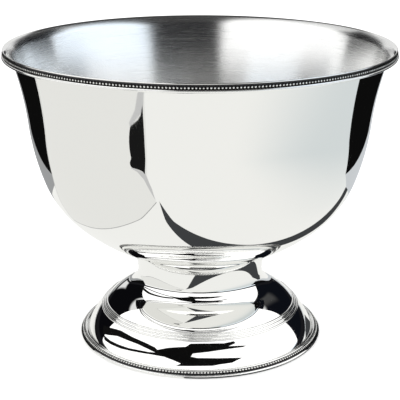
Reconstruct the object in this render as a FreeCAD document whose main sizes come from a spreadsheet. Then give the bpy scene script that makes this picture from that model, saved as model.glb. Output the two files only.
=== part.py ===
import FreeCAD, Part
import math
import os
import re

import Sketcher

# A pedestal punch bowl of polished stainless steel.
# Millimetres, +Z up. The origin is on the axis, on the plane that the foot stands on.
# Outlines are drawn as radius and height, and turned about the vertical axis.

doc = FreeCAD.newDocument("punch_bowl")
UP = FreeCAD.Vector(0, 0, 1)
AXIS = FreeCAD.Vector(0, 0, 0)

# Angles are in degrees. On the bowl they are the wall's slope above the horizontal, from the
# middle outwards. On the foot they are its slope below the horizontal, from the neck down.
DIMENSIONS = {
    # bowl
    "sheet_wall": 1.2,
    "floor_height": 77.94,
    "floor_curve": 191.8,
    "floor_slope": 40.1,
    "belly_curve": 104.7,
    "belly_slope": 69.6,
    "side_curve": 237.8,
    "side_slope": 83.9,
    "flare_curve": 323.0,
    "flare_slope": 72.4,
    "lip_curve": 13.0,
    "lip_slope": 20.0,
    "lip_round": 0.4,
    # border round the rim
    "strip_back": 186.0,
    "strip_face": 188.7,
    "strip_roll": 1.6,
    "strip_roll_centre": 188.9,
    "strip_roll_height": 290.1,
    "rim_bead_height": 293.2,
    "rim_bead_count": 388,
    # beaded wire
    "bead_radius": 1.35,
    "bead_core": 0.75,
    # foot
    "neck_top_radius": 70.2,
    "neck_top_height": 93.5,
    "neck_top_slope": 120.0,
    "seat_radius": 84.0,
    "neck_upper_curve": 50.8,
    "neck_lower_curve": 22.5,
    "shoulder_slope": 24.0,
    "dome_curve": 58.0,
    "dome_slope": 46.0,
    "step_length": 9.3,
    "reed_radius": 1.3,
    "reed_half_width": 1.27,
    "reed_root": 0.7,
    "reed_count": 3,
    "skirt_curve": 72.0,
    "skirt_slope": 67.0,
    "hem_curve": 7.0,
    "hem_height": 1.2,
    # border round the foot
    "border_ridge": 1.1,
    "border_ridge_out": 1.9,
    "border_ridge_height": 5.9,
    "border_shoulder": 5.45,
    "foot_bead_seat": 120.3,
    "foot_bead_height": 4.7,
    "foot_bead_count": 246,
    "deck_slope": 33.0,
    "border_roll": 1.75,
    "border_roll_centre": 121.75,
    # fastening inside the neck
    "plate_radius": 30.0,
    "plate_wall": 3.0,
    "stud_radius": 5.0,
    "stud_length": 26.5,
    "stud_chamfer": 1.0,
    "web_wall": 2.5,
    "stud_clearance": 0.3,
    "washer_radius": 15.0,
    "washer_wall": 2.5,
    "spring_radius": 9.0,
    "spring_wall": 2.2,
    "spring_gap": 2.0,
    "nut_flats": 17.0,
    "nut_height": 8.0,
    "nut_chamfer": 1.0,
    "nut_chamfer_run": 1.6,
    "turning_clear": 0.01,
}


def fill_sheet():
    """The sheet that holds every driving dimension under its own name."""
    sheet = doc.addObject("Spreadsheet::Sheet", "Dims")
    for row, (alias, value) in enumerate(DIMENSIONS.items(), start=1):
        sheet.set(f"A{row}", alias)
        sheet.set(f"B{row}", str(value))
        sheet.setAlias(f"B{row}", alias)
    doc.recompute()
    return sheet


DIMS = fill_sheet()


def bound(formula):
    """The formula with each alias written as a reference to the sheet."""
    return re.sub(r"\b([a-z]+_[a-z_]+)\b", r"Dims.\1", formula)


def number(formula):
    """The formula's value."""
    return float(DIMS.evalExpression(bound(formula)))


def sine(slope):
    """Formula for the sine of a slope in degrees."""
    return f"sin({slope} * 1deg)"


def cosine(slope):
    """Formula for the cosine of a slope in degrees."""
    return f"cos({slope} * 1deg)"


# ---------------------------------------------------------------- bodies and sketches


def new_body(label):
    """An empty body with its label."""
    body = doc.addObject("PartDesign::Body", label)
    body.Label = label
    return body


def new_sketch(body, name):
    """A sketch on the body's own upright plane: across is the radius, up is the height."""
    sketch = body.newObject("Sketcher::SketchObject", name)
    plane = next(f for f in body.Origin.OriginFeatures if f.Role == "XZ_Plane")
    sketch.AttachmentSupport = [(plane, "")]
    sketch.MapMode = "FlatFace"
    return sketch


def set_size(sketch, kind, *reference, formula):
    """A dimension of the sketch, bound to the sheet."""
    index = sketch.addConstraint(Sketcher.Constraint(kind, *reference, number(formula)))
    sketch.setExpression(f"Constraints[{index}]", bound(formula))


def arc_between(start, end, radius, turn):
    """The short arc from start to end. Turn is +1 if it curves left on the way, -1 if right."""
    chord = end - start
    rise = math.sqrt(max(radius**2 - (chord.Length / 2) ** 2, 0.0))
    left = FreeCAD.Vector(-chord.y, chord.x, 0).normalize()
    centre = (start + end) / 2 + left * rise * turn
    first, last = (start, end) if turn > 0 else (end, start)
    angles = [math.atan2(p.y - centre.y, p.x - centre.x) for p in (first, last)]
    return Part.ArcOfCircle(Part.Circle(centre, UP, radius), angles[0], angles[1])


def outline(sketch, corners):
    """A closed outline. Each corner is (radius, height, edge): two formulas, and the edge that
    leaves it, which is None for a straight line or (radius formula, turn) for an arc."""
    points = [FreeCAD.Vector(number(r), number(z), 0) for r, z, _ in corners]
    ends = []
    for index, (_, _, edge) in enumerate(corners):
        start, end = points[index], points[(index + 1) % len(points)]
        if edge is None:
            geometry = sketch.addGeometry(Part.LineSegment(start, end), False)
            ends.append((geometry, 1, 2))
        else:
            arc = arc_between(start, end, number(edge[0]), edge[1])
            geometry = sketch.addGeometry(arc, False)
            ends.append((geometry, 1, 2) if edge[1] > 0 else (geometry, 2, 1))
    for index, (r, z, edge) in enumerate(corners):
        geometry, start, _ = ends[index]
        before, _, before_end = ends[index - 1]
        sketch.addConstraint(
            Sketcher.Constraint("Coincident", before, before_end, geometry, start)
        )
        if points[index].x == 0:
            sketch.addConstraint(Sketcher.Constraint("PointOnObject", geometry, start, -2))
        else:
            set_size(sketch, "DistanceX", -1, 1, geometry, start, formula=r)
        if points[index].y == 0:
            sketch.addConstraint(Sketcher.Constraint("PointOnObject", geometry, start, -1))
        else:
            set_size(sketch, "DistanceY", -1, 1, geometry, start, formula=z)
        if edge is not None:
            set_size(sketch, "Radius", geometry, formula=edge[0])


def revolved(body, name, corners, kind="Revolution"):
    """The outline turned full circle about the vertical axis. A Groove cuts it from the body."""
    sketch = new_sketch(body, name + "_outline")
    outline(sketch, corners)
    feature = body.newObject("PartDesign::" + kind, name + "_turned")
    feature.Profile = sketch
    feature.ReferenceAxis = (sketch, ["V_Axis"])
    feature.Angle = 360
    doc.recompute()
    return feature


def smooth_curve(r, z, slope, arcs, down, wall=None):
    """Corners along arcs that run smoothly into each other from a point with a slope. Each arc is
    (curve, slope at its end, bulge): bulge is +1 where the surface bulges outwards and -1 where
    it is hollow. Down is -1 where the curve climbs and +1 where it falls. Wall moves it inwards."""
    if wall is not None:
        r = f"{r} - {wall} * {sine(slope)}"
        z = f"{z} {'-' if down > 0 else '+'} {wall} * {cosine(slope)}"
    corners = []
    for curve, end_slope, bulge in arcs:
        if wall is not None:
            curve = f"({curve} {'-' if bulge > 0 else '+'} {wall})"
        corners.append((r, z, (curve, -bulge * down)))
        along = f"({sine(end_slope)} - {sine(slope)})"
        rise = f"({cosine(end_slope)} - {cosine(slope)})"
        r = f"{r} {'+' if bulge > 0 else '-'} {curve} * {along}"
        z = f"{z} {'+' if bulge * down > 0 else '-'} {curve} * {rise}"
        slope = end_slope
    corners.append((r, z, None))
    return corners


def backwards(corners):
    """The same corners in the other order, with their edges turned round."""
    edges = [edge and (edge[0], -edge[1]) for _, _, edge in corners]
    reverse = []
    for index in range(len(corners) - 1, -1, -1):
        r, z, _ = corners[index]
        reverse.append((r, z, edges[index - 1] if index > 0 else None))
    return reverse


# ---------------------------------------------------------------- bowl and its border

BOWL_ARCS = [
    ("floor_curve", "floor_slope", 1),
    ("belly_curve", "belly_slope", 1),
    ("side_curve", "side_slope", 1),
    ("flare_curve", "flare_slope", -1),
    ("lip_curve", "lip_slope", -1),
]


def bowl_side(wall=None):
    """The bowl's outside from the middle of the floor to the lip's edge, or its inside."""
    return smooth_curve("0", "floor_height", "0", BOWL_ARCS, -1, wall)


def make_bowl():
    """One spun shell: floor, belly, side, flare and curled lip, with a rounded edge."""
    body = new_body("bowl")
    shell = revolved(body, "bowl", bowl_side() + backwards(bowl_side("sheet_wall")))
    edge_height = number(bowl_side()[-1][1]) - number("lip_round")
    lip_edges = [
        f"Edge{index}"
        for index, edge in enumerate(shell.Shape.Edges, start=1)
        if edge.isClosed() and edge.Vertexes[0].Point.z > edge_height
    ]
    rounding = body.newObject("PartDesign::Fillet", "lip_rounding")
    rounding.Base = (shell, lip_edges)
    rounding.Radius = number("lip_round")
    rounding.setExpression("Radius", bound("lip_round"))
    doc.recompute()
    return body


def floor_underside(r):
    """Height of the underside of the bowl's round floor at a radius."""
    return f"floor_height + floor_curve - sqrt(floor_curve ^ 2 - {r} ^ 2)"


def lip_underside(r):
    """Height of the underside of the curled lip at a radius."""
    edge_r, edge_z, _ = bowl_side()[-1]
    centre_r = f"({edge_r} + lip_curve * {sine('lip_slope')})"
    centre_z = f"({edge_z} - lip_curve * {cosine('lip_slope')})"
    return f"{centre_z} + sqrt(lip_curve ^ 2 - ({centre_r} - {r}) ^ 2)"


def make_rim_border():
    """The strip under the lip: a half-round lower edge, and a groove that the beads sit in."""
    body = new_body("rim_border")
    revolved(
        body,
        "rim_border",
        [
            ("strip_back", "strip_roll_height - strip_roll", None),
            ("strip_roll_centre", "strip_roll_height - strip_roll", ("strip_roll", 1)),
            ("strip_roll_centre + strip_roll", "strip_roll_height", ("strip_roll", 1)),
            ("strip_roll_centre", "strip_roll_height + strip_roll", None),
            ("strip_face", "rim_bead_height - bead_radius", ("bead_radius", -1)),
            ("strip_face - bead_radius", "rim_bead_height", ("bead_radius", -1)),
            ("strip_face", "rim_bead_height + bead_radius", None),
            ("strip_face", lip_underside("strip_face"), ("lip_curve", 1)),
            ("strip_back", lip_underside("strip_back"), None),
        ],
    )
    return body


# ---------------------------------------------------------------- beaded wires


def make_bead_wire(label, seat, height, count):
    """A ring of round beads on a thin core. The skin of one bead and its length of core is
    repeated round the axis and sewn into one solid."""
    seat, height, radius = number(seat), number(height), number("bead_radius")
    count = int(number(count))
    turn = 360.0 / count
    bead = Part.makeSphere(radius, FreeCAD.Vector(seat, 0, height))
    core = Part.makeTorus(seat, number("bead_core"), FreeCAD.Vector(0, 0, height))
    half_space = Part.makeBox(4 * radius, seat, 4 * radius)
    half_space.translate(FreeCAD.Vector(seat - 2 * radius, 0, height - 2 * radius))
    half_space.rotate(AXIS, UP, -turn / 2)
    sector = half_space.common(half_space.mirror(AXIS, FreeCAD.Vector(0, 1, 0)))
    link = bead.fuse(core).common(sector)
    skin = [face for face in link.Faces if not isinstance(face.Surface, Part.Plane)]
    faces = []
    for index in range(count):
        for face in skin:
            copy = face.copy()
            copy.rotate(AXIS, UP, index * turn)
            faces.append(copy)
    shell = Part.Shell(faces)
    shell.sewShape()
    piece = doc.addObject("Part::Feature", label)
    piece.Label = label
    piece.Shape = Part.Solid(shell)
    piece.Placement = FreeCAD.Placement()
    return piece


# ---------------------------------------------------------------- foot and its border

NECK_AND_DOME = [
    ("neck_upper_curve", "90", -1),
    ("neck_lower_curve", "shoulder_slope", -1),
    ("dome_curve", "dome_slope", 1),
]
SKIRT = [("skirt_curve", "skirt_slope", 1), ("hem_curve", "90", 1)]


def foot_side(wall=None):
    """The foot's outline from the neck down to the hem, with the step's straight slope in it."""
    dome = smooth_curve(
        "neck_top_radius", "neck_top_height", "neck_top_slope", NECK_AND_DOME, 1, wall
    )
    top_r, top_z, _ = smooth_curve(
        "neck_top_radius", "neck_top_height", "neck_top_slope", NECK_AND_DOME, 1
    )[-1]
    step_r = f"{top_r} + step_length * {cosine('dome_slope')}"
    step_z = f"{top_z} - step_length * {sine('dome_slope')}"
    skirt = smooth_curve(step_r, step_z, "dome_slope", SKIRT, 1, wall)
    return dome + skirt + [(skirt[-1][0], "hem_height", None)]


def on_step(along, inside="0"):
    """A point on the step's straight slope, at a distance along it and a depth inside it."""
    top_r, top_z, _ = foot_side()[len(NECK_AND_DOME)]
    across, down = cosine("dome_slope"), sine("dome_slope")
    r = f"{top_r} + {along} * {across} - {inside} * {down}"
    z = f"{top_z} - {along} * {down} - {inside} * {across}"
    return r, z


def make_pedestal_foot():
    """One spun shell: hollow neck, dome, a step with three reeds, skirt and upright hem."""
    body = new_body("pedestal_foot")
    revolved(body, "foot", foot_side() + backwards(foot_side("sheet_wall")))
    seat = [
        ("0", "floor_height", ("floor_curve", 1)),
        ("seat_radius", floor_underside("seat_radius"), None),
        ("0", floor_underside("seat_radius"), None),
    ]
    revolved(body, "bowl_seat", seat, "Groove")
    for index in range(int(number("reed_count"))):
        middle = f"step_length * ({index} + 0.5) / reed_count"
        first = f"({middle} - reed_half_width)"
        last = f"({middle} + reed_half_width)"
        corners = [
            (*on_step(first), ("reed_radius", -1)),
            (*on_step(last), None),
            (*on_step(last, "reed_root"), None),
            (*on_step(first, "reed_root"), None),
        ]
        revolved(body, f"reed_{index + 1}", corners)
    return body


def make_foot_border():
    """The moulding that the bowl stands on: ridge, beaded groove on a sloping deck, round edge."""
    body = new_body("foot_border")
    bore = foot_side()[-1][0]
    ridge_r = f"({bore} + border_ridge_out)"
    along, down = cosine("deck_slope"), sine("deck_slope")
    seat = ("foot_bead_seat", "foot_bead_height")
    groove_in = (f"{seat[0]} - bead_radius * {along}", f"{seat[1]} + bead_radius * {down}")
    groove_low = (f"{seat[0]} - bead_radius * {down}", f"{seat[1]} - bead_radius * {along}")
    groove_out = (f"{seat[0]} + bead_radius * {along}", f"{seat[1]} - bead_radius * {down}")
    revolved(
        body,
        "foot_border",
        [
            (bore, "0", None),
            ("border_roll_centre", "0", ("border_roll", 1)),
            ("border_roll_centre + border_roll", "border_roll", ("border_roll", 1)),
            (
                f"border_roll_centre + border_roll * {down}",
                f"border_roll + border_roll * {along}",
                None,
            ),
            (*groove_out, ("bead_radius", -1)),
            (*groove_low, ("bead_radius", -1)),
            (*groove_in, None),
            (f"{ridge_r} + border_ridge", "border_ridge_height", ("border_ridge", 1)),
            (ridge_r, "border_ridge_height + border_ridge", ("border_ridge", 1)),
            (f"{ridge_r} - border_ridge", "border_ridge_height", None),
            (bore, "border_shoulder", None),
        ],
    )
    return body


# ---------------------------------------------------------------- fastening inside the neck


def make_stud_plate():
    """Dished plate that fits the curve of the bowl's floor."""
    body = new_body("stud_plate")
    under = "floor_height + floor_curve - sqrt((floor_curve + plate_wall) ^ 2 - plate_radius ^ 2)"
    revolved(
        body,
        "stud_plate",
        [
            ("0", "floor_height - plate_wall", ("floor_curve + plate_wall", 1)),
            ("plate_radius", under, None),
            ("plate_radius", floor_underside("plate_radius"), ("floor_curve", -1)),
            ("0", "floor_height", None),
        ],
    )
    return body


def make_threaded_stud():
    """Round stud from the plate down through the neck, with a chamfered end."""
    body = new_body("threaded_stud")
    top = "floor_height - plate_wall"
    plate_curve = "(floor_curve + plate_wall)"
    shoulder = f"floor_height + floor_curve - sqrt({plate_curve} ^ 2 - stud_radius ^ 2)"
    revolved(
        body,
        "threaded_stud",
        [
            ("0", f"{top} - stud_length", None),
            ("stud_radius - stud_chamfer", f"{top} - stud_length", None),
            ("stud_radius", f"{top} - stud_length + stud_chamfer", None),
            ("stud_radius", shoulder, (plate_curve, -1)),
            ("0", top, None),
        ],
    )
    return body


def waist():
    """Radius and height of the narrowest part of the neck, on its inside."""
    r, z, _ = foot_side("sheet_wall")[1]
    return r, z


def web_underside():
    """Height of the face that the washer bears on."""
    return f"{waist()[1]} - web_wall"


def make_neck_web():
    """Flat plate across the narrowest part of the neck. Its edge follows the neck's curve."""
    body = new_body("neck_web")
    r, z = waist()
    curve = "(neck_lower_curve + sheet_wall)"
    low_r = f"{r} + {curve} - sqrt({curve} ^ 2 - web_wall ^ 2)"
    revolved(
        body,
        "neck_web",
        [
            ("stud_radius + stud_clearance", z, None),
            ("stud_radius + stud_clearance", web_underside(), None),
            (low_r, web_underside(), (curve, -1)),
            (r, z, None),
        ],
    )
    return body


def make_flat_washer():
    """Wide flat ring that spreads the nut's load on the web."""
    body = new_body("flat_washer")
    revolved(
        body,
        "flat_washer",
        [
            ("stud_radius + stud_clearance", f"{web_underside()} - washer_wall", None),
            ("washer_radius", f"{web_underside()} - washer_wall", None),
            ("washer_radius", web_underside(), None),
            ("stud_radius + stud_clearance", web_underside(), None),
        ],
    )
    return body


def bound_placement(piece, height):
    """Puts the piece at a height that the sheet drives."""
    piece.setExpression("Placement.Base.z", bound(height))


def make_spring_washer():
    """Square-section ring with a slot cut through one side. What cuts it runs one thickness past
    each of its faces."""
    top = f"{web_underside()} - washer_wall"
    ring = doc.addObject("Part::Cylinder", "spring_ring")
    ring.setExpression("Radius", bound("spring_radius"))
    ring.setExpression("Height", bound("spring_wall"))
    bound_placement(ring, f"{top} - spring_wall")
    hole = doc.addObject("Part::Cylinder", "spring_hole")
    hole.setExpression("Radius", bound("stud_radius + stud_clearance"))
    hole.setExpression("Height", bound("3 * spring_wall"))
    bound_placement(hole, f"{top} - 2 * spring_wall")
    slot = doc.addObject("Part::Box", "spring_slot")
    slot.setExpression("Length", bound("2 * spring_radius"))
    slot.setExpression("Width", bound("spring_gap"))
    slot.setExpression("Height", bound("3 * spring_wall"))
    slot.setExpression("Placement.Base.y", bound("-spring_gap / 2"))
    bound_placement(slot, f"{top} - 2 * spring_wall")
    cutter = doc.addObject("Part::Fuse", "spring_cutter")
    cutter.Base, cutter.Tool = hole, slot
    washer = doc.addObject("Part::Cut", "spring_washer")
    washer.Base, washer.Tool = ring, cutter
    washer.Label = "spring_washer"
    return washer


def make_hex_nut():
    """Hexagonal nut with its corners turned off at both ends."""
    top = f"{web_underside()} - washer_wall - spring_wall"
    prism = doc.addObject("Part::Prism", "nut_prism")
    prism.Polygon = 6
    prism.setExpression("Circumradius", bound(f"nut_flats / 2 / {cosine('30')}"))
    prism.setExpression("Height", bound("nut_height"))
    bound_placement(prism, f"{top} - nut_height")
    turned = new_body("nut_turning")
    corner = f"nut_flats / 2 / {cosine('30')} + turning_clear"
    revolved(
        turned,
        "nut_turning",
        [
            ("stud_radius", f"{top} - nut_height", None),
            (f"{corner} - nut_chamfer_run", f"{top} - nut_height", None),
            (corner, f"{top} - nut_height + nut_chamfer", None),
            (corner, f"{top} - nut_chamfer", None),
            (f"{corner} - nut_chamfer_run", top, None),
            ("stud_radius", top, None),
        ],
    )
    nut = doc.addObject("Part::Common", "hex_nut")
    nut.Base, nut.Tool = prism, turned
    nut.Label = "hex_nut"
    return nut


# ---------------------------------------------------------------- the whole bowl

PIECES = [
    make_bowl(),
    make_rim_border(),
    make_bead_wire("rim_bead_wire", "strip_face", "rim_bead_height", "rim_bead_count"),
    make_pedestal_foot(),
    make_foot_border(),
    make_bead_wire("foot_bead_wire", "foot_bead_seat", "foot_bead_height", "foot_bead_count"),
    make_stud_plate(),
    make_threaded_stud(),
    make_neck_web(),
    make_flat_washer(),
    make_spring_washer(),
    make_hex_nut(),
]
doc.recompute()


def check(piece):
    """Stops the macro if the piece isn't a valid solid, and prints its size."""
    shape = piece.Shape
    if shape.isNull() or not shape.isValid() or not shape.Solids:
        raise ValueError(f"{piece.Label}: bad shape")
    print(f"{piece.Label}: {shape.Volume / 1000:.2f} cm3, {len(shape.Faces)} faces")


for item in doc.Objects:
    if {"Invalid", "Error"} & set(item.State):
        raise ValueError(f"{item.Label}: {item.State}")
os.makedirs("parts", exist_ok=True)
for piece in PIECES:
    check(piece)
    piece.Shape.exportStep(f"parts/{piece.Label}.step")
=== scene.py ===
import math

import bmesh
import bpy
import numpy as np
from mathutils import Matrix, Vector


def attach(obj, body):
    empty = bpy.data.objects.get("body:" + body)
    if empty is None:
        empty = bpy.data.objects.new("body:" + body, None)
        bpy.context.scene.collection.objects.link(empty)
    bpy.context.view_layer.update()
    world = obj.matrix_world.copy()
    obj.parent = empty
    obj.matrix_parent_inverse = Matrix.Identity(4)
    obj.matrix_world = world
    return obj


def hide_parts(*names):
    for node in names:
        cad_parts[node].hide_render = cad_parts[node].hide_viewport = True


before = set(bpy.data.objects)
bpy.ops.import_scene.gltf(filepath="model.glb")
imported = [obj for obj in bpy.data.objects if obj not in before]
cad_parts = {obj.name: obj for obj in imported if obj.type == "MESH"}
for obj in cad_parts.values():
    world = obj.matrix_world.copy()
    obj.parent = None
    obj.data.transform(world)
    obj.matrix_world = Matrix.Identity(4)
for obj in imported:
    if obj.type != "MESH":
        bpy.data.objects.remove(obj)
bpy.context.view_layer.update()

# A pedestal punch bowl of polished steel, in metres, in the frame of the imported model.
# Outlines are (radius, height) points on one side of the vertical axis.

MM = 0.001
SEGMENTS = 384
ON_AXIS = 1e-7

# ---------------------------------------------------------------- outlines

SHEET = 1.2 * MM
FLOOR_TOP = 77.94 * MM
FLOOR_RADIUS = 191.8 * MM
LIP_RADIUS = 13.0 * MM
LIP_SLOPE = 20.0
# Each arc is (radius, slope where it ends, +1 where it bulges outwards or -1 where it is hollow).
BOWL_ARCS = [
    (FLOOR_RADIUS, 40.1, 1),
    (104.7 * MM, 69.6, 1),
    (237.8 * MM, 83.9, 1),
    (323.0 * MM, 72.4, -1),
    (LIP_RADIUS, LIP_SLOPE, -1),
]
NECK_TOP = (70.2 * MM, 93.5 * MM)
NECK_TOP_SLOPE = 120.0
STEP_SLOPE = 46.0
NECK_ARCS = [(50.8 * MM, 90.0, -1), (22.5 * MM, 24.0, -1), (58.0 * MM, STEP_SLOPE, 1)]
STEP_LENGTH = 9.3 * MM
SKIRT_ARCS = [(72.0 * MM, 67.0, 1), (7.0 * MM, 90.0, 1)]
HEM_HEIGHT = 1.2 * MM
REED_RADIUS = 1.3 * MM
REED_HALF_WIDTH = 1.27 * MM
REED_COUNT = 3
BEAD_RADIUS = 1.35 * MM
BEAD_CORE = 0.75 * MM


def curve(start, slope, arcs, falling, inset=0.0, per_arc=28):
    """Points along arcs that run smoothly into each other, from a start and its slope in degrees.
    The inset moves them from the outer face of the sheet towards the inner one."""
    down = 1 if falling else -1
    angle = math.radians(slope)
    r = start[0] - inset * math.sin(angle)
    z = start[1] - inset * math.cos(angle) * down
    points = [(r, z)]
    for radius, end_slope, bulge in arcs:
        radius = radius - inset * bulge
        end = math.radians(end_slope)
        for step in range(1, per_arc + 1):
            a = angle + (end - angle) * step / per_arc
            out = bulge * radius * (math.sin(a) - math.sin(angle))
            up = bulge * down * radius * (math.cos(a) - math.cos(angle))
            points.append((r + out, z + up))
        r, z = points[-1]
        angle = end
    return points


def arc(centre, radius, start, end, steps=10):
    """Points round a centre from one angle to another, in degrees, 0 outwards and 90 up."""
    angles = [math.radians(start + (end - start) * i / steps) for i in range(steps + 1)]
    return [(centre[0] + radius * math.cos(a), centre[1] + radius * math.sin(a)) for a in angles]


# ---------------------------------------------------------------- meshes


def add_object(name, points, faces, sharp=35.0):
    """A smooth mesh object, with its edges sharp where they turn by more than an angle."""
    mesh = bpy.data.meshes.new(name)
    mesh.from_pydata(points, [], faces)
    mesh.shade_smooth()
    mesh.set_sharp_from_angle(angle=math.radians(sharp))
    piece = bpy.data.objects.new(name, mesh)
    bpy.context.scene.collection.objects.link(piece)
    return piece


def turned(outline, first=0):
    """Points and faces of a closed outline turned about the axis. Points on the axis are shared.
    The outline runs anticlockwise, seen with the radius to the right."""
    radii, heights = np.array(outline).T
    turns = np.arange(SEGMENTS) * math.tau / SEGMENTS
    tall = np.repeat(heights[:, None], SEGMENTS, 1)
    rings = np.stack([np.outer(radii, np.cos(turns)), np.outer(radii, np.sin(turns)), tall], -1)
    index = np.arange(first, first + tall.size).reshape(tall.shape)
    index[radii < ON_AXIS] = index[radii < ON_AXIS, :1]
    following = np.roll(index, -1, 0)
    quads = np.stack([index, np.roll(index, -1, 1), np.roll(following, -1, 1), following], -1)
    faces = [list(dict.fromkeys(face)) for face in quads.reshape(-1, 4).tolist()]
    return rings.reshape(-1, 3), faces


def lathe(name, outline, zones=None):
    """The closed outline turned about the axis. Zones gives the material index of each edge of the
    outline. The attribute "along" is each point's distance along the outline, in metres."""
    points, faces = turned(outline)
    kept = [face for face in faces if len(face) > 2]
    piece = add_object(name, points, kept)
    mesh = piece.data
    steps = [math.dist(a, b) for a, b in zip(outline, outline[1:])]
    along = np.repeat(np.concatenate([[0.0], np.cumsum(steps)]), SEGMENTS)
    mesh.attributes.new("along", "FLOAT", "POINT").data.foreach_set("value", along)
    if zones:
        index = np.repeat(zones, SEGMENTS)[[len(face) > 2 for face in faces]]
        mesh.polygons.foreach_set("material_index", index)
    bm = bmesh.new()
    bm.from_mesh(mesh)
    bmesh.ops.delete(bm, geom=[v for v in bm.verts if not v.link_faces], context="VERTS")
    bm.to_mesh(mesh)
    bm.free()
    return piece


def bead_ring(name, seat, height, count):
    """Round beads side by side on a thin core."""
    bm = bmesh.new()
    bmesh.ops.create_icosphere(bm, subdivisions=3, radius=BEAD_RADIUS)
    ball = np.array([v.co for v in bm.verts])
    ball_faces = np.array([[v.index for v in face.verts] for face in bm.faces])
    bm.free()
    turns = np.arange(count) * math.tau / count
    middles = np.stack([seat * np.cos(turns), seat * np.sin(turns), np.full(count, height)], 1)
    balls = (middles[:, None] + ball[None]).reshape(-1, 3)
    faces = (np.arange(count)[:, None, None] * len(ball) + ball_faces[None]).reshape(-1, 3)
    core, core_faces = turned(arc((seat, height), BEAD_CORE, 0, 330, steps=11), len(balls))
    return add_object(name, np.concatenate([balls, core]), faces.tolist() + core_faces)


# ---------------------------------------------------------------- materials


class Nodes:
    """Short names for making and joining shader nodes."""

    def __init__(self, tree):
        self.tree = tree

    def add(self, kind, inputs=None, **settings):
        node = self.tree.nodes.new(kind)
        for key, value in settings.items():
            setattr(node, key, value)
        for key, value in (inputs or {}).items():
            if isinstance(value, bpy.types.NodeSocket):
                self.tree.links.new(value, node.inputs[key])
            else:
                node.inputs[key].default_value = value
        return node

    def math(self, operation, *values):
        inputs = {index: value for index, value in enumerate(values)}
        return self.add("ShaderNodeMath", inputs, operation=operation).outputs[0]

    def ramp(self, value, low, high, to_low=0.0, to_high=1.0):
        """Value carried smoothly from one range to another."""
        inputs = {"Value": value, "From Min": low, "From Max": high}
        inputs |= {"To Min": to_low, "To Max": to_high}
        node = self.add("ShaderNodeMapRange", inputs, interpolation_type="SMOOTHSTEP")
        return node.outputs["Result"]

    def between(self, value, low, high, soft):
        """One where the value lies between low and high, and nothing beyond their soft edges."""
        rise = self.ramp(value, low - soft, low + soft)
        fall = self.ramp(value, high - soft, high + soft, 1.0, 0.0)
        return self.math("MULTIPLY", rise, fall)

    def noise(self, vector, scale, detail=2.0):
        inputs = {"Vector": vector, "Scale": scale, "Detail": detail}
        return self.add("ShaderNodeTexNoise", inputs).outputs["Fac"]

    def mix(self, share, first, second):
        """The first colour turned into the second as share goes from 0 to 1."""
        inputs = {0: share, 6: first, 7: second}
        return self.add("ShaderNodeMix", inputs, data_type="RGBA").outputs[2]

    def place(self):
        return self.add("ShaderNodeTexCoord").outputs["Object"]

    def vector(self, operation, inputs):
        return self.add("ShaderNodeVectorMath", inputs, operation=operation).outputs

    def link(self, value, shader, name):
        self.tree.links.new(value, shader.inputs[name])

    def bump(self, shader, height, strength, distance):
        inputs = {"Height": height, "Strength": strength, "Distance": distance}
        self.link(self.add("ShaderNodeBump", inputs).outputs[0], shader, "Normal")


# A place multiplied by this keeps its way out from the axis and loses its height.
LEVEL = (1, 1, 0)


def metal(name, colour):
    """A metal and its nodes, ready for its own detail."""
    material = bpy.data.materials.new(name)
    material.use_nodes = True
    nodes = Nodes(material.node_tree)
    shader = material.node_tree.nodes["Principled BSDF"]
    shader.inputs["Metallic"].default_value = 1.0
    shader.inputs["Base Color"].default_value = (*colour, 1.0)
    return material, nodes, shader


def ring_coordinates(nodes, across_scale, along_scale):
    """Coordinates for marks that run round the axis: slow round it, fast along the outline."""
    level = nodes.vector("MULTIPLY", {0: nodes.place(), 1: LEVEL})[0]
    unit = nodes.vector("NORMALIZE", {0: level})[0]
    wide = nodes.vector("SCALE", {0: unit, "Scale": across_scale})[0]
    parts = nodes.add("ShaderNodeSeparateXYZ", {0: wide}).outputs
    along = nodes.add("ShaderNodeAttribute", attribute_name="along").outputs["Fac"]
    tall = nodes.math("MULTIPLY", along, along_scale)
    joined = {"X": parts["X"], "Y": parts["Y"], "Z": tall}
    return nodes.add("ShaderNodeCombineXYZ", joined).outputs[0]


def polished_steel():
    """Mirror finish with faint polishing waves and smudges."""
    material, nodes, shader = metal("polished_steel", (0.93, 0.93, 0.915))
    place = nodes.place()
    smudge = nodes.noise(place, 14.0, detail=4.0)
    nodes.link(nodes.ramp(smudge, 0.35, 0.75, 0.015, 0.045), shader, "Roughness")
    wave = nodes.noise(place, 9.0, detail=1.0)
    nodes.bump(shader, wave, strength=0.05, distance=2.0 * MM)
    return material


def satin_steel():
    """Brushed round the axis: fine lines of uneven depth that spread a reflection across them."""
    material, nodes, shader = metal("satin_steel", (0.93, 0.93, 0.92))
    fine = nodes.noise(ring_coordinates(nodes, 5.0, 2600.0), 1.0, detail=3.0)
    bands = nodes.noise(ring_coordinates(nodes, 1.5, 900.0), 1.0, detail=3.0)
    both = nodes.math("ADD", nodes.math("MULTIPLY", fine, 0.5), nodes.math("MULTIPLY", bands, 0.5))
    nodes.link(nodes.ramp(both, 0.34, 0.66, 0.22, 0.28), shader, "Roughness")
    tangent = nodes.add("ShaderNodeTangent", direction_type="RADIAL", axis="Z").outputs[0]
    nodes.link(tangent, shader, "Tangent")
    shader.inputs["Anisotropic"].default_value = 0.95
    shader.inputs["Anisotropic Rotation"].default_value = 0.25
    nodes.bump(shader, fine, strength=0.08, distance=0.2 * MM)
    return material


def recess_painted_shade():
    """Near-black metal behind the beads: painted shade for the dark of the deep groove."""
    material, nodes, shader = metal("recess_painted_shade", (0.05, 0.05, 0.052))
    cloud = nodes.noise(nodes.place(), 300.0, detail=3.0)
    nodes.link(nodes.ramp(cloud, 0.3, 0.7, 0.25, 0.45), shader, "Roughness")
    return material


# Painted shade on the beads: near-black below each crown, bright steel on the crown.
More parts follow.
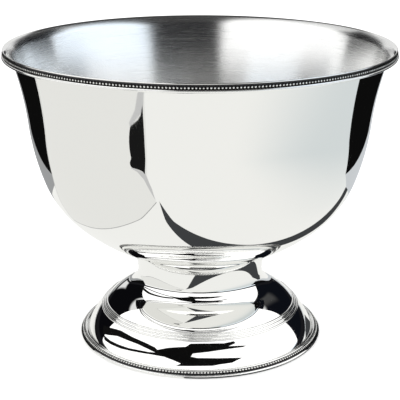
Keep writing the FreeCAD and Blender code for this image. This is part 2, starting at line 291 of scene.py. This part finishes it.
BEAD_STEEL = (0.9, 0.9, 0.88)
BEAD_PAINTED_SHADE = (0.03, 0.03, 0.028)
CROWN_UNSHADED = 0.95
SHADE_EDGE_JITTER = 0.06


def beaded_steel(name, seat, height, facing, shade_reach):
    """Bright steel on the crown of each bead, with painted shade, near-black, down its sides into the
    groove, so that each crown shows as a bright dot. Facing is the angle that the crowns look at,
    0 outwards and 90 up. Shade reach is how far up each bead the painted shade reaches, where 1 is the
    crown."""
    material, nodes, shader = metal(name, BEAD_STEEL)
    shader.inputs["Roughness"].default_value = 0.12
    place = nodes.place()
    level = nodes.vector("MULTIPLY", {0: place, 1: LEVEL})[0]
    radius = nodes.vector("LENGTH", {0: level})["Value"]
    tall = nodes.add("ShaderNodeSeparateXYZ", {0: place}).outputs["Z"]
    angle = math.radians(facing)
    out = nodes.math("MULTIPLY", nodes.math("SUBTRACT", radius, seat), math.cos(angle))
    up = nodes.math("MULTIPLY", nodes.math("SUBTRACT", tall, height), math.sin(angle))
    crown = nodes.math("DIVIDE", nodes.math("ADD", out, up), BEAD_RADIUS)
    cloud = nodes.noise(place, 400.0, detail=3.0)
    # A noisy edge to the painted shade.
    jittered_crown = nodes.math("ADD", crown, nodes.ramp(cloud, 0.3, 0.7, -SHADE_EDGE_JITTER, SHADE_EDGE_JITTER))
    unshaded = nodes.ramp(jittered_crown, shade_reach, CROWN_UNSHADED)
    nodes.link(nodes.mix(unshaded, (*BEAD_PAINTED_SHADE, 1), (*BEAD_STEEL, 1)), shader, "Base Color")
    return material


def plain_steel():
    """Turned steel, dull zinc grey."""
    material, nodes, shader = metal("plain_steel", (0.55, 0.56, 0.57))
    place = nodes.place()
    cloud = nodes.noise(place, 120.0, detail=5.0)
    nodes.link(nodes.ramp(cloud, 0.3, 0.7, 0.28, 0.5), shader, "Roughness")
    grain = nodes.noise(place, 1800.0)
    nodes.bump(shader, grain, strength=0.15, distance=0.2 * MM)
    return material


POLISHED = polished_steel()
SATIN = satin_steel()
# Painted shade: near-black metal for the grooves behind the beads.
PAINTED_RECESS_SHADE = recess_painted_shade()
PLAIN = plain_steel()

# ---------------------------------------------------------------- pieces


def finish_piece(piece, node, slot, *materials):
    """Gives a piece its materials and puts it in the place of its CAD node."""
    for material in materials:
        piece.data.materials.append(material)
    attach(piece, "root")
    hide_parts(node)


LIP_POLISHED_STEPS = 6


def make_bowl():
    outside = curve((0, FLOOR_TOP), 0, BOWL_ARCS, False)
    inside = curve((0, FLOOR_TOP), 0, BOWL_ARCS, False, SHEET)
    lip = ((outside[-1][0] + inside[-1][0]) / 2, (outside[-1][1] + inside[-1][1]) / 2)
    edge = arc(lip, SHEET / 2, LIP_SLOPE - 90, LIP_SLOPE + 90, steps=8)[1:-1]
    outline = outside + edge + inside[::-1]
    brushed_from = len(outside) + len(edge) + LIP_POLISHED_STEPS
    zones = [1 if brushed_from <= index < len(outline) - 1 else 0 for index in range(len(outline))]
    finish_piece(lathe("bowl_shell", outline, zones), "bowl", "polished_steel", POLISHED, SATIN)


def lip_height(r):
    """Height of the underside of the curled lip at a radius."""
    end = curve((0, FLOOR_TOP), 0, BOWL_ARCS, False)[-1]
    slope = math.radians(LIP_SLOPE)
    centre = (end[0] + LIP_RADIUS * math.sin(slope), end[1] - LIP_RADIUS * math.cos(slope))
    return centre[1] + math.sqrt(LIP_RADIUS**2 - (centre[0] - r) ** 2)


STRIP_BACK = 186.0 * MM
STRIP_FACE = 188.7 * MM
STRIP_ROLL = 1.6 * MM
STRIP_ROLL_CENTRE = (188.9 * MM, 290.1 * MM)
# Each ring of beads is (radius, height, how many).
RIM_BEADS = (188.7 * MM, 293.2 * MM, 388)
RIM_BEADS_FACING = 0.0
# How far up the rim beads their painted shade reaches.
RIM_BEADS_SHADE_REACH = 0.74


def make_rim():
    r, z, count = RIM_BEADS
    outline = [(STRIP_BACK, STRIP_ROLL_CENTRE[1] - STRIP_ROLL)]
    outline += arc(STRIP_ROLL_CENTRE, STRIP_ROLL, -90, 90, steps=16)
    bright = len(outline) - 1
    outline += arc((STRIP_FACE, z), BEAD_RADIUS, 270, 90, steps=12)
    outline += [(STRIP_FACE, lip_height(STRIP_FACE)), (STRIP_BACK, lip_height(STRIP_BACK))]
    # The groove behind the beads and the face up to the lip take the near-black recess metal, which is
    # painted shade. The rest stays polished.
    zones = [int(bright <= index < len(outline) - 2) for index in range(len(outline))]
    strip = lathe("rim_border_strip", outline, zones)
    finish_piece(strip, "rim_border", "border_metal", POLISHED, PAINTED_RECESS_SHADE)
    beads = beaded_steel("rim_bead_steel", r, z, RIM_BEADS_FACING, RIM_BEADS_SHADE_REACH)
    finish_piece(bead_ring("rim_beads", r, z, count), "rim_bead_wire", "border_metal", beads)


def foot_side(inset=0.0):
    """The foot's dome above the reeded step and its skirt below, set in from the outer face."""
    dome = curve(NECK_TOP, NECK_TOP_SLOPE, NECK_ARCS, True, inset)
    r, z = curve(NECK_TOP, NECK_TOP_SLOPE, NECK_ARCS, True)[-1]
    slope = math.radians(STEP_SLOPE)
    below = (r + STEP_LENGTH * math.cos(slope), z - STEP_LENGTH * math.sin(slope))
    return dome, curve(below, STEP_SLOPE, SKIRT_ARCS, True, inset)


def clear_of_bowl(points):
    """The points that lie outside the bowl's floor, where the foot meets it."""
    centre = (0, FLOOR_TOP + FLOOR_RADIUS)
    return [point for point in points if math.dist(point, centre) > FLOOR_RADIUS]


def reeded_step(top):
    """The half-round reeds side by side down the slope that starts at the top."""
    slope = math.radians(STEP_SLOPE)
    across = Vector((math.cos(slope), -math.sin(slope)))
    out = Vector((math.sin(slope), math.cos(slope)))
    depth = math.sqrt(REED_RADIUS**2 - REED_HALF_WIDTH**2)
    half_turn = math.degrees(math.acos(depth / REED_RADIUS))
    facing = 90 - STEP_SLOPE
    reeds = []
    for index in range(REED_COUNT):
        middle = Vector(top) + across * STEP_LENGTH * (index + 0.5) / REED_COUNT - out * depth
        reeds += arc(tuple(middle), REED_RADIUS, facing + half_turn, facing - half_turn, steps=12)
    return reeds


def make_foot():
    dome, skirt = foot_side()
    inner_dome, inner_skirt = foot_side(SHEET)
    reeds = reeded_step(dome[-1])
    hem = [(inner_skirt[-1][0], HEM_HEIGHT), (skirt[-1][0], HEM_HEIGHT)]
    inner = clear_of_bowl(inner_dome) + inner_skirt
    outer = clear_of_bowl(dome) + reeds + skirt
    foot = lathe("foot_shell", inner + hem + outer[::-1])
    finish_piece(foot, "pedestal_foot", "polished_steel", POLISHED)


RIDGE = 1.1 * MM
RIDGE_OUT = 1.9 * MM
RIDGE_HEIGHT = 5.9 * MM
SHOULDER = 5.45 * MM
DECK_SLOPE = 33.0
BASE_ROLL = 1.75 * MM
BASE_ROLL_CENTRE = 121.75 * MM
BASE_BEADS = (120.3 * MM, 4.7 * MM, 246)
# How far up the foot beads their painted shade reaches.
BASE_BEADS_SHADE_REACH = 0.4


def make_base():
    bore = foot_side()[1][-1][0]
    r, z, count = BASE_BEADS
    outline = [(bore, 0)]
    outline += arc((BASE_ROLL_CENTRE, BASE_ROLL), BASE_ROLL, -90, 90 - DECK_SLOPE, steps=16)
    bright = len(outline) - 1
    outline += arc((r, z), BEAD_RADIUS, -DECK_SLOPE, -180 - DECK_SLOPE, steps=12)
    dark = len(outline)
    outline += arc((bore + RIDGE_OUT, RIDGE_HEIGHT), RIDGE, 0, 180, steps=14)
    outline += [(bore, SHOULDER)]
    # The groove under the beads takes the near-black recess metal, which is painted shade. The roll
    # and the ridge stay polished.
    zones = [int(bright <= index < dark) for index in range(len(outline))]
    ring = lathe("foot_border_ring", outline, zones)
    finish_piece(ring, "foot_border", "border_metal", POLISHED, PAINTED_RECESS_SHADE)
    beads = beaded_steel("foot_bead_steel", r, z, 90 - DECK_SLOPE, BASE_BEADS_SHADE_REACH)
    finish_piece(bead_ring("foot_beads", r, z, count), "foot_bead_wire", "border_metal", beads)


def plain_fasteners():
    """The fixing inside the foot keeps its CAD shape and takes the turned steel."""
    for name in ("stud_plate", "threaded_stud", "neck_web", "flat_washer", "spring_washer", "hex_nut"):
        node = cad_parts[name]
        node.data.materials.clear()
        node.data.materials.append(PLAIN)


make_bowl()
make_rim()
make_foot()
make_base()
plain_fasteners()

# ---------------------------------------------------------------- studio

# Cards are flat sheets seen only in reflections. The bowl and the foot see those on the table,
# and only the foot sees those level with the rim. Where they overlap they lie layers apart.
REACH = 3.0
LAYER = 0.1 * MM
CANOPY_HEIGHT = 299.0 * MM
CANOPY_HOLE = 200.0 * MM
CANOPY_EDGE = 35.0 * MM
CANOPY_SIDE = 112
WHITE = (1, 1, 1)
NEARLY_BLACK = 0.004

SHEET_EDGE = 2.5 * MM
SHEET_SIDE = [(-0.14, -0.295), (-0.205, 0.06), (-0.215, 0.15), (-0.42, 0.185)]
FLAG_SIDE_LEFT = [(-0.42, 0.185), (-0.62, 1.6), (-1.0, REACH)]
FLAG_SIDE_RIGHT = [(0.43, 0.15), (0.62, 1.6), (1.0, REACH)]


def flat_piece(name, corners, height, material):
    """A flat mesh object with all its corners at one height."""
    mesh = bpy.data.meshes.new(name)
    mesh.from_pydata([(x, y, height) for x, y in corners], [], [list(range(len(corners)))])
    mesh.materials.append(material)
    piece = bpy.data.objects.new(name, mesh)
    bpy.context.scene.collection.objects.link(piece)
    return piece


def square(half):
    return [(-half, -half), (half, -half), (half, half), (-half, half)]


def flat_card(name, corners, height, strength, colour=WHITE, fade=None):
    """A sheet that glows in one colour. Fade is where the colour starts to change on its way
    across, where it has changed, and the colour it turns into."""
    material = bpy.data.materials.new(name)
    material.use_nodes = True
    tree = material.node_tree
    tree.nodes.clear()
    nodes = Nodes(tree)
    glow = nodes.add("ShaderNodeEmission", {"Color": (*colour, 1), "Strength": strength})
    if fade is not None:
        start, end, faded = fade
        across = nodes.add("ShaderNodeSeparateXYZ", {0: nodes.place()}).outputs["X"]
        shade = nodes.mix(nodes.ramp(across, start, end), (*colour, 1), (*faded, 1))
        nodes.link(shade, glow, "Color")
    nodes.add("ShaderNodeOutputMaterial", {"Surface": glow.outputs[0]})
    card = flat_piece(name, corners, height, material)
    card.visible_camera = False
    card.visible_diffuse = False
    card.visible_shadow = False


def make_floor():
    """The white table that the eye sees. Reflections see the cards on it instead."""
    material = bpy.data.materials.new("floor")
    material.use_nodes = True
    shader = material.node_tree.nodes["Principled BSDF"]
    shader.inputs["Base Color"].default_value = (0.9, 0.9, 0.9, 1)
    shader.inputs["Roughness"].default_value = 0.9
    shader.inputs["Specular IOR Level"].default_value = 0.0
    floor = flat_piece("floor", square(REACH), 0, material)
    floor.visible_glossy = False


def make_sheets():
    """The white table, and a sheet lying on its left with a grey edge."""
    flat_card("table", square(REACH), 0, 0.92, (1.0, 1.0, 0.975), (0.15, 0.65, (0.74, 0.79, 0.8)))
    left = SHEET_SIDE + [(-2, 0.77), (-2, -1.5), (-0.8, -1.5), (-0.3, -0.52), (-0.235, -0.405)]
    flat_card("sheet_left", left, 2 * LAYER, 0.83, (1.0, 1.0, 0.97))
    edge = SHEET_SIDE + [(-0.9, 0.33)]
    for (x0, y0), (x1, y1) in zip(edge, edge[1:]):
        far_side = [(x1 + SHEET_EDGE, y1 + SHEET_EDGE), (x0 + SHEET_EDGE, y0 + SHEET_EDGE)]
        flat_card("sheet_edge", [(x0, y0), (x1, y1)] + far_side, 4 * LAYER, 0.42)


def make_dark_cards():
    """The charcoal band across the bowl, with the soft wedge and the black lens to its left."""
    strip = [(-0.132, -0.302), (-0.06, -0.235), (0.06, -0.118), (0.19, 0.018), (0.355, 0.195),
             (0.325, 0.25), (0.205, 0.158), (0.125, 0.02), (-0.008, -0.112)]
    flat_card("strip", strip, 4 * LAYER, 0.055, (0.9, 0.95, 1.0))
    wedge = [(-0.145, -0.3), (-0.235, -0.375), (-0.29, -0.4), (-0.335, -0.4), (-0.335, -0.41),
             (-0.255, -0.42), (-0.18, -0.345)]
    flat_card("wedge", wedge, 3 * LAYER, 0.58)
    lens = [(-0.25, -0.41), (-0.27, -0.42), (-0.29, -0.42)]
    lens += arc((-0.312, -0.48), 0.075, 108, 162, steps=6)
    lens += [(-0.385, -0.5), (-0.36, -0.56), (-0.335, -0.55), (-0.31, -0.515)]
    flat_card("lens", lens, 4 * LAYER, 0.01)


def make_back_cards():
    """Grey sheets behind the bowl, with a black flag outside each."""
    back_left = [(-0.37, 0.175), (-0.28, 0.31), (-0.19, 0.38), (-0.1, 0.42), (-0.1, REACH)]
    flat_card("back_left", back_left + FLAG_SIDE_LEFT[::-1], 2 * LAYER, 0.36, (0.96, 0.98, 1))
    back_right = [(0.1, REACH), (0.1, 0.42), (0.19, 0.39), (0.28, 0.32), (0.35, 0.2)]
    flat_card("back_right", FLAG_SIDE_RIGHT + back_right, 2 * LAYER, 0.66, (0.92, 0.96, 1))
    flag_left = FLAG_SIDE_LEFT + [(-REACH, REACH), (-REACH, 1.15)]
    flat_card("flag_left", flag_left, 4 * LAYER, NEARLY_BLACK)
    flag_right = FLAG_SIDE_RIGHT + [(REACH, REACH), (REACH, 0.54)]
    flat_card("flag_right", flag_right, 4 * LAYER, NEARLY_BLACK)


def canopy_ring(name, near, far, strength, steps=48):
    """A sheet level with the rim from one radius to another, round the front and both sides."""
    turns = [math.radians(CANOPY_SIDE * (2 * i / steps - 1)) for i in range(steps + 1)]
    outer = [(far * math.sin(turn), -far * math.cos(turn)) for turn in turns]
    inner = [(near * math.sin(turn), -near * math.cos(turn)) for turn in reversed(turns)]
    flat_card(name, outer + inner, CANOPY_HEIGHT, strength)


def make_canopy():
    """The white canopy with its grey edge, and the black cards under it. Only the foot sees it."""
    canopy_ring("canopy", CANOPY_HOLE + CANOPY_EDGE, REACH, 1.35)
    canopy_ring("canopy_edge", CANOPY_HOLE, CANOPY_HOLE + CANOPY_EDGE, 0.5)
    black = [(-0.31, -0.31), (-0.2, -0.29), (-0.08, -0.285), (-0.05, -0.25), (0.05, -0.248),
             (0.13, -0.24), (0.18, -0.21), (0.2, -0.23), (0.17, -0.27), (0.3, -0.245),
             (0.28, -0.27), (0.15, -0.32), (0.06, -0.355), (-0.05, -0.385), (-0.07, -0.44),
             (-0.02, -0.465), (0.15, -0.47), (0.4, -0.455), (0.38, -0.5), (0.35, -0.6),
             (0.2, -0.66), (0.15, -0.7), (-0.3, -0.72), (-0.2, -0.62), (-0.25, -0.52),
             (-0.3, -0.45), (-0.31, -0.38)]
    flat_card("canopy_black", black, CANOPY_HEIGHT - 4 * LAYER, NEARLY_BLACK)
    upper = [(-1.2, 0.75), (-0.75, 0.27), (-0.53, 0.06), (-0.43, -0.09), (-0.35, -0.19),
             (-0.3, -0.27), (-0.3, -0.36), (-0.34, -0.37), (-0.39, -0.28), (-0.45, -0.19),
             (-0.56, -0.08), (-0.7, 0.06), (-1.05, 0.3), (-1.7, 0.8)]
    flat_card("canopy_upper", upper, CANOPY_HEIGHT - 6 * LAYER, 0.006)
    lower = [(-0.3, -0.36), (-0.42, -0.33), (-0.53, -0.275), (-0.69, -0.195), (-0.9, -0.04),
             (-1.2, 0.22), (-1.6, 0.7), (-2.0, 0.7), (-1.45, 0.2), (-1.0, -0.12),
             (-0.74, -0.25), (-0.56, -0.33), (-0.43, -0.38), (-0.3, -0.44)]
    flat_card("canopy_lower", lower, CANOPY_HEIGHT - 8 * LAYER, 0.006)


SURROUND = (0.8, 0.8, 0.8, 1)
EYE_WHITE = (1.7, 1.7, 1.7, 1)


def lay_panel(nodes, under, across, sides, along, ends, soft, colour):
    """Lays a panel of one colour over what is under it, between two sides and two ends."""
    wide = nodes.between(across, *sides, soft)
    tall = nodes.between(along, *ends, soft)
    return nodes.mix(nodes.math("MULTIPLY", wide, tall), under, (*colour, 1))


def reflected_studio(nodes):
    """Two soft boxes in front with a dark gap between them, a dark line along the horizon and a
    black flank on each side."""
    place = nodes.add("ShaderNodeTexCoord").outputs["Generated"]
    parts = nodes.add("ShaderNodeSeparateXYZ", {0: place}).outputs
    back = nodes.math("MULTIPLY", parts["Y"], -1.0)
    azimuth = nodes.math("DEGREES", nodes.math("ARCTAN2", parts["X"], back))
    elevation = nodes.math("DEGREES", nodes.math("ARCSINE", parts["Z"]))
    # The gap runs from the front over the top, as wide there as in front.
    sideways = nodes.math("DEGREES", nodes.math("ARCSINE", parts["X"]))
    over = nodes.math("DEGREES", nodes.math("ARCTAN2", parts["Z"], back))
    # Later panels lie over earlier ones. Angles are in degrees.
    panels = [
        (azimuth, (-158, -112), elevation, (-30, 37), 1.5, (0.003, 0.003, 0.004)),
        (azimuth, (112, 165), elevation, (-30, 41), 1.5, (0.004, 0.005, 0.008)),
        (azimuth, (-112, 112), elevation, (-30, 70), 2.0, (1.35, 1.35, 1.35)),
        (azimuth, (20, 112), elevation, (-30, 70), 2.0, (1.15, 1.27, 1.4)),
        (azimuth, (-185, 185), elevation, (0.5, 5), 1.0, (0.01, 0.01, 0.012)),
        (sideways, (-13, 32), over, (-10, 150), 4.5, (0.06, 0.06, 0.06)),
        (sideways, (-12, 30), over, (-10, 42), 3.5, (0.0, 0.0, 0.002)),
    ]
    studio = nodes.add("ShaderNodeRGB").outputs[0]
    studio.default_value = SURROUND
    for panel in panels:
        studio = lay_panel(nodes, studio, *panel)
    return studio


def make_world():
    """White for the eye and for soft light, and the studio for reflections."""
    world = bpy.data.worlds.new("studio")
    bpy.context.scene.world = world
    world.use_nodes = True
    tree = world.node_tree
    tree.nodes.clear()
    nodes = Nodes(tree)
    studio = reflected_studio(nodes)
    path = nodes.add("ShaderNodeLightPath").outputs
    seen = nodes.math("MAXIMUM", path["Is Camera Ray"], path["Is Diffuse Ray"])
    colour = nodes.mix(seen, studio, EYE_WHITE)
    light = nodes.add("ShaderNodeBackground", {"Color": colour, "Strength": 1.0})
    nodes.add("ShaderNodeOutputWorld", {"Surface": light.outputs[0]})


CAMERA_SENSOR = 36.0
CAMERA_LENS = 105.1
CAMERA_PLACE = (0, -1.124, 0.4902)
CAMERA_DIP = 17.37


def make_camera():
    """The camera in front, looking down at the bowl. Its sensor and lens are in millimetres."""
    data = bpy.data.cameras.new("camera")
    data.sensor_width = CAMERA_SENSOR
    data.lens = CAMERA_LENS
    camera = bpy.data.objects.new("camera", data)
    camera.location = CAMERA_PLACE
    camera.rotation_euler = (math.radians(90 - CAMERA_DIP), 0, 0)
    bpy.context.scene.collection.objects.link(camera)
    bpy.context.scene.camera = camera


make_floor()
make_sheets()
make_dark_cards()
make_back_cards()
make_canopy()
make_world()
make_camera()
bpy.context.scene.view_settings.view_transform = "Standard"
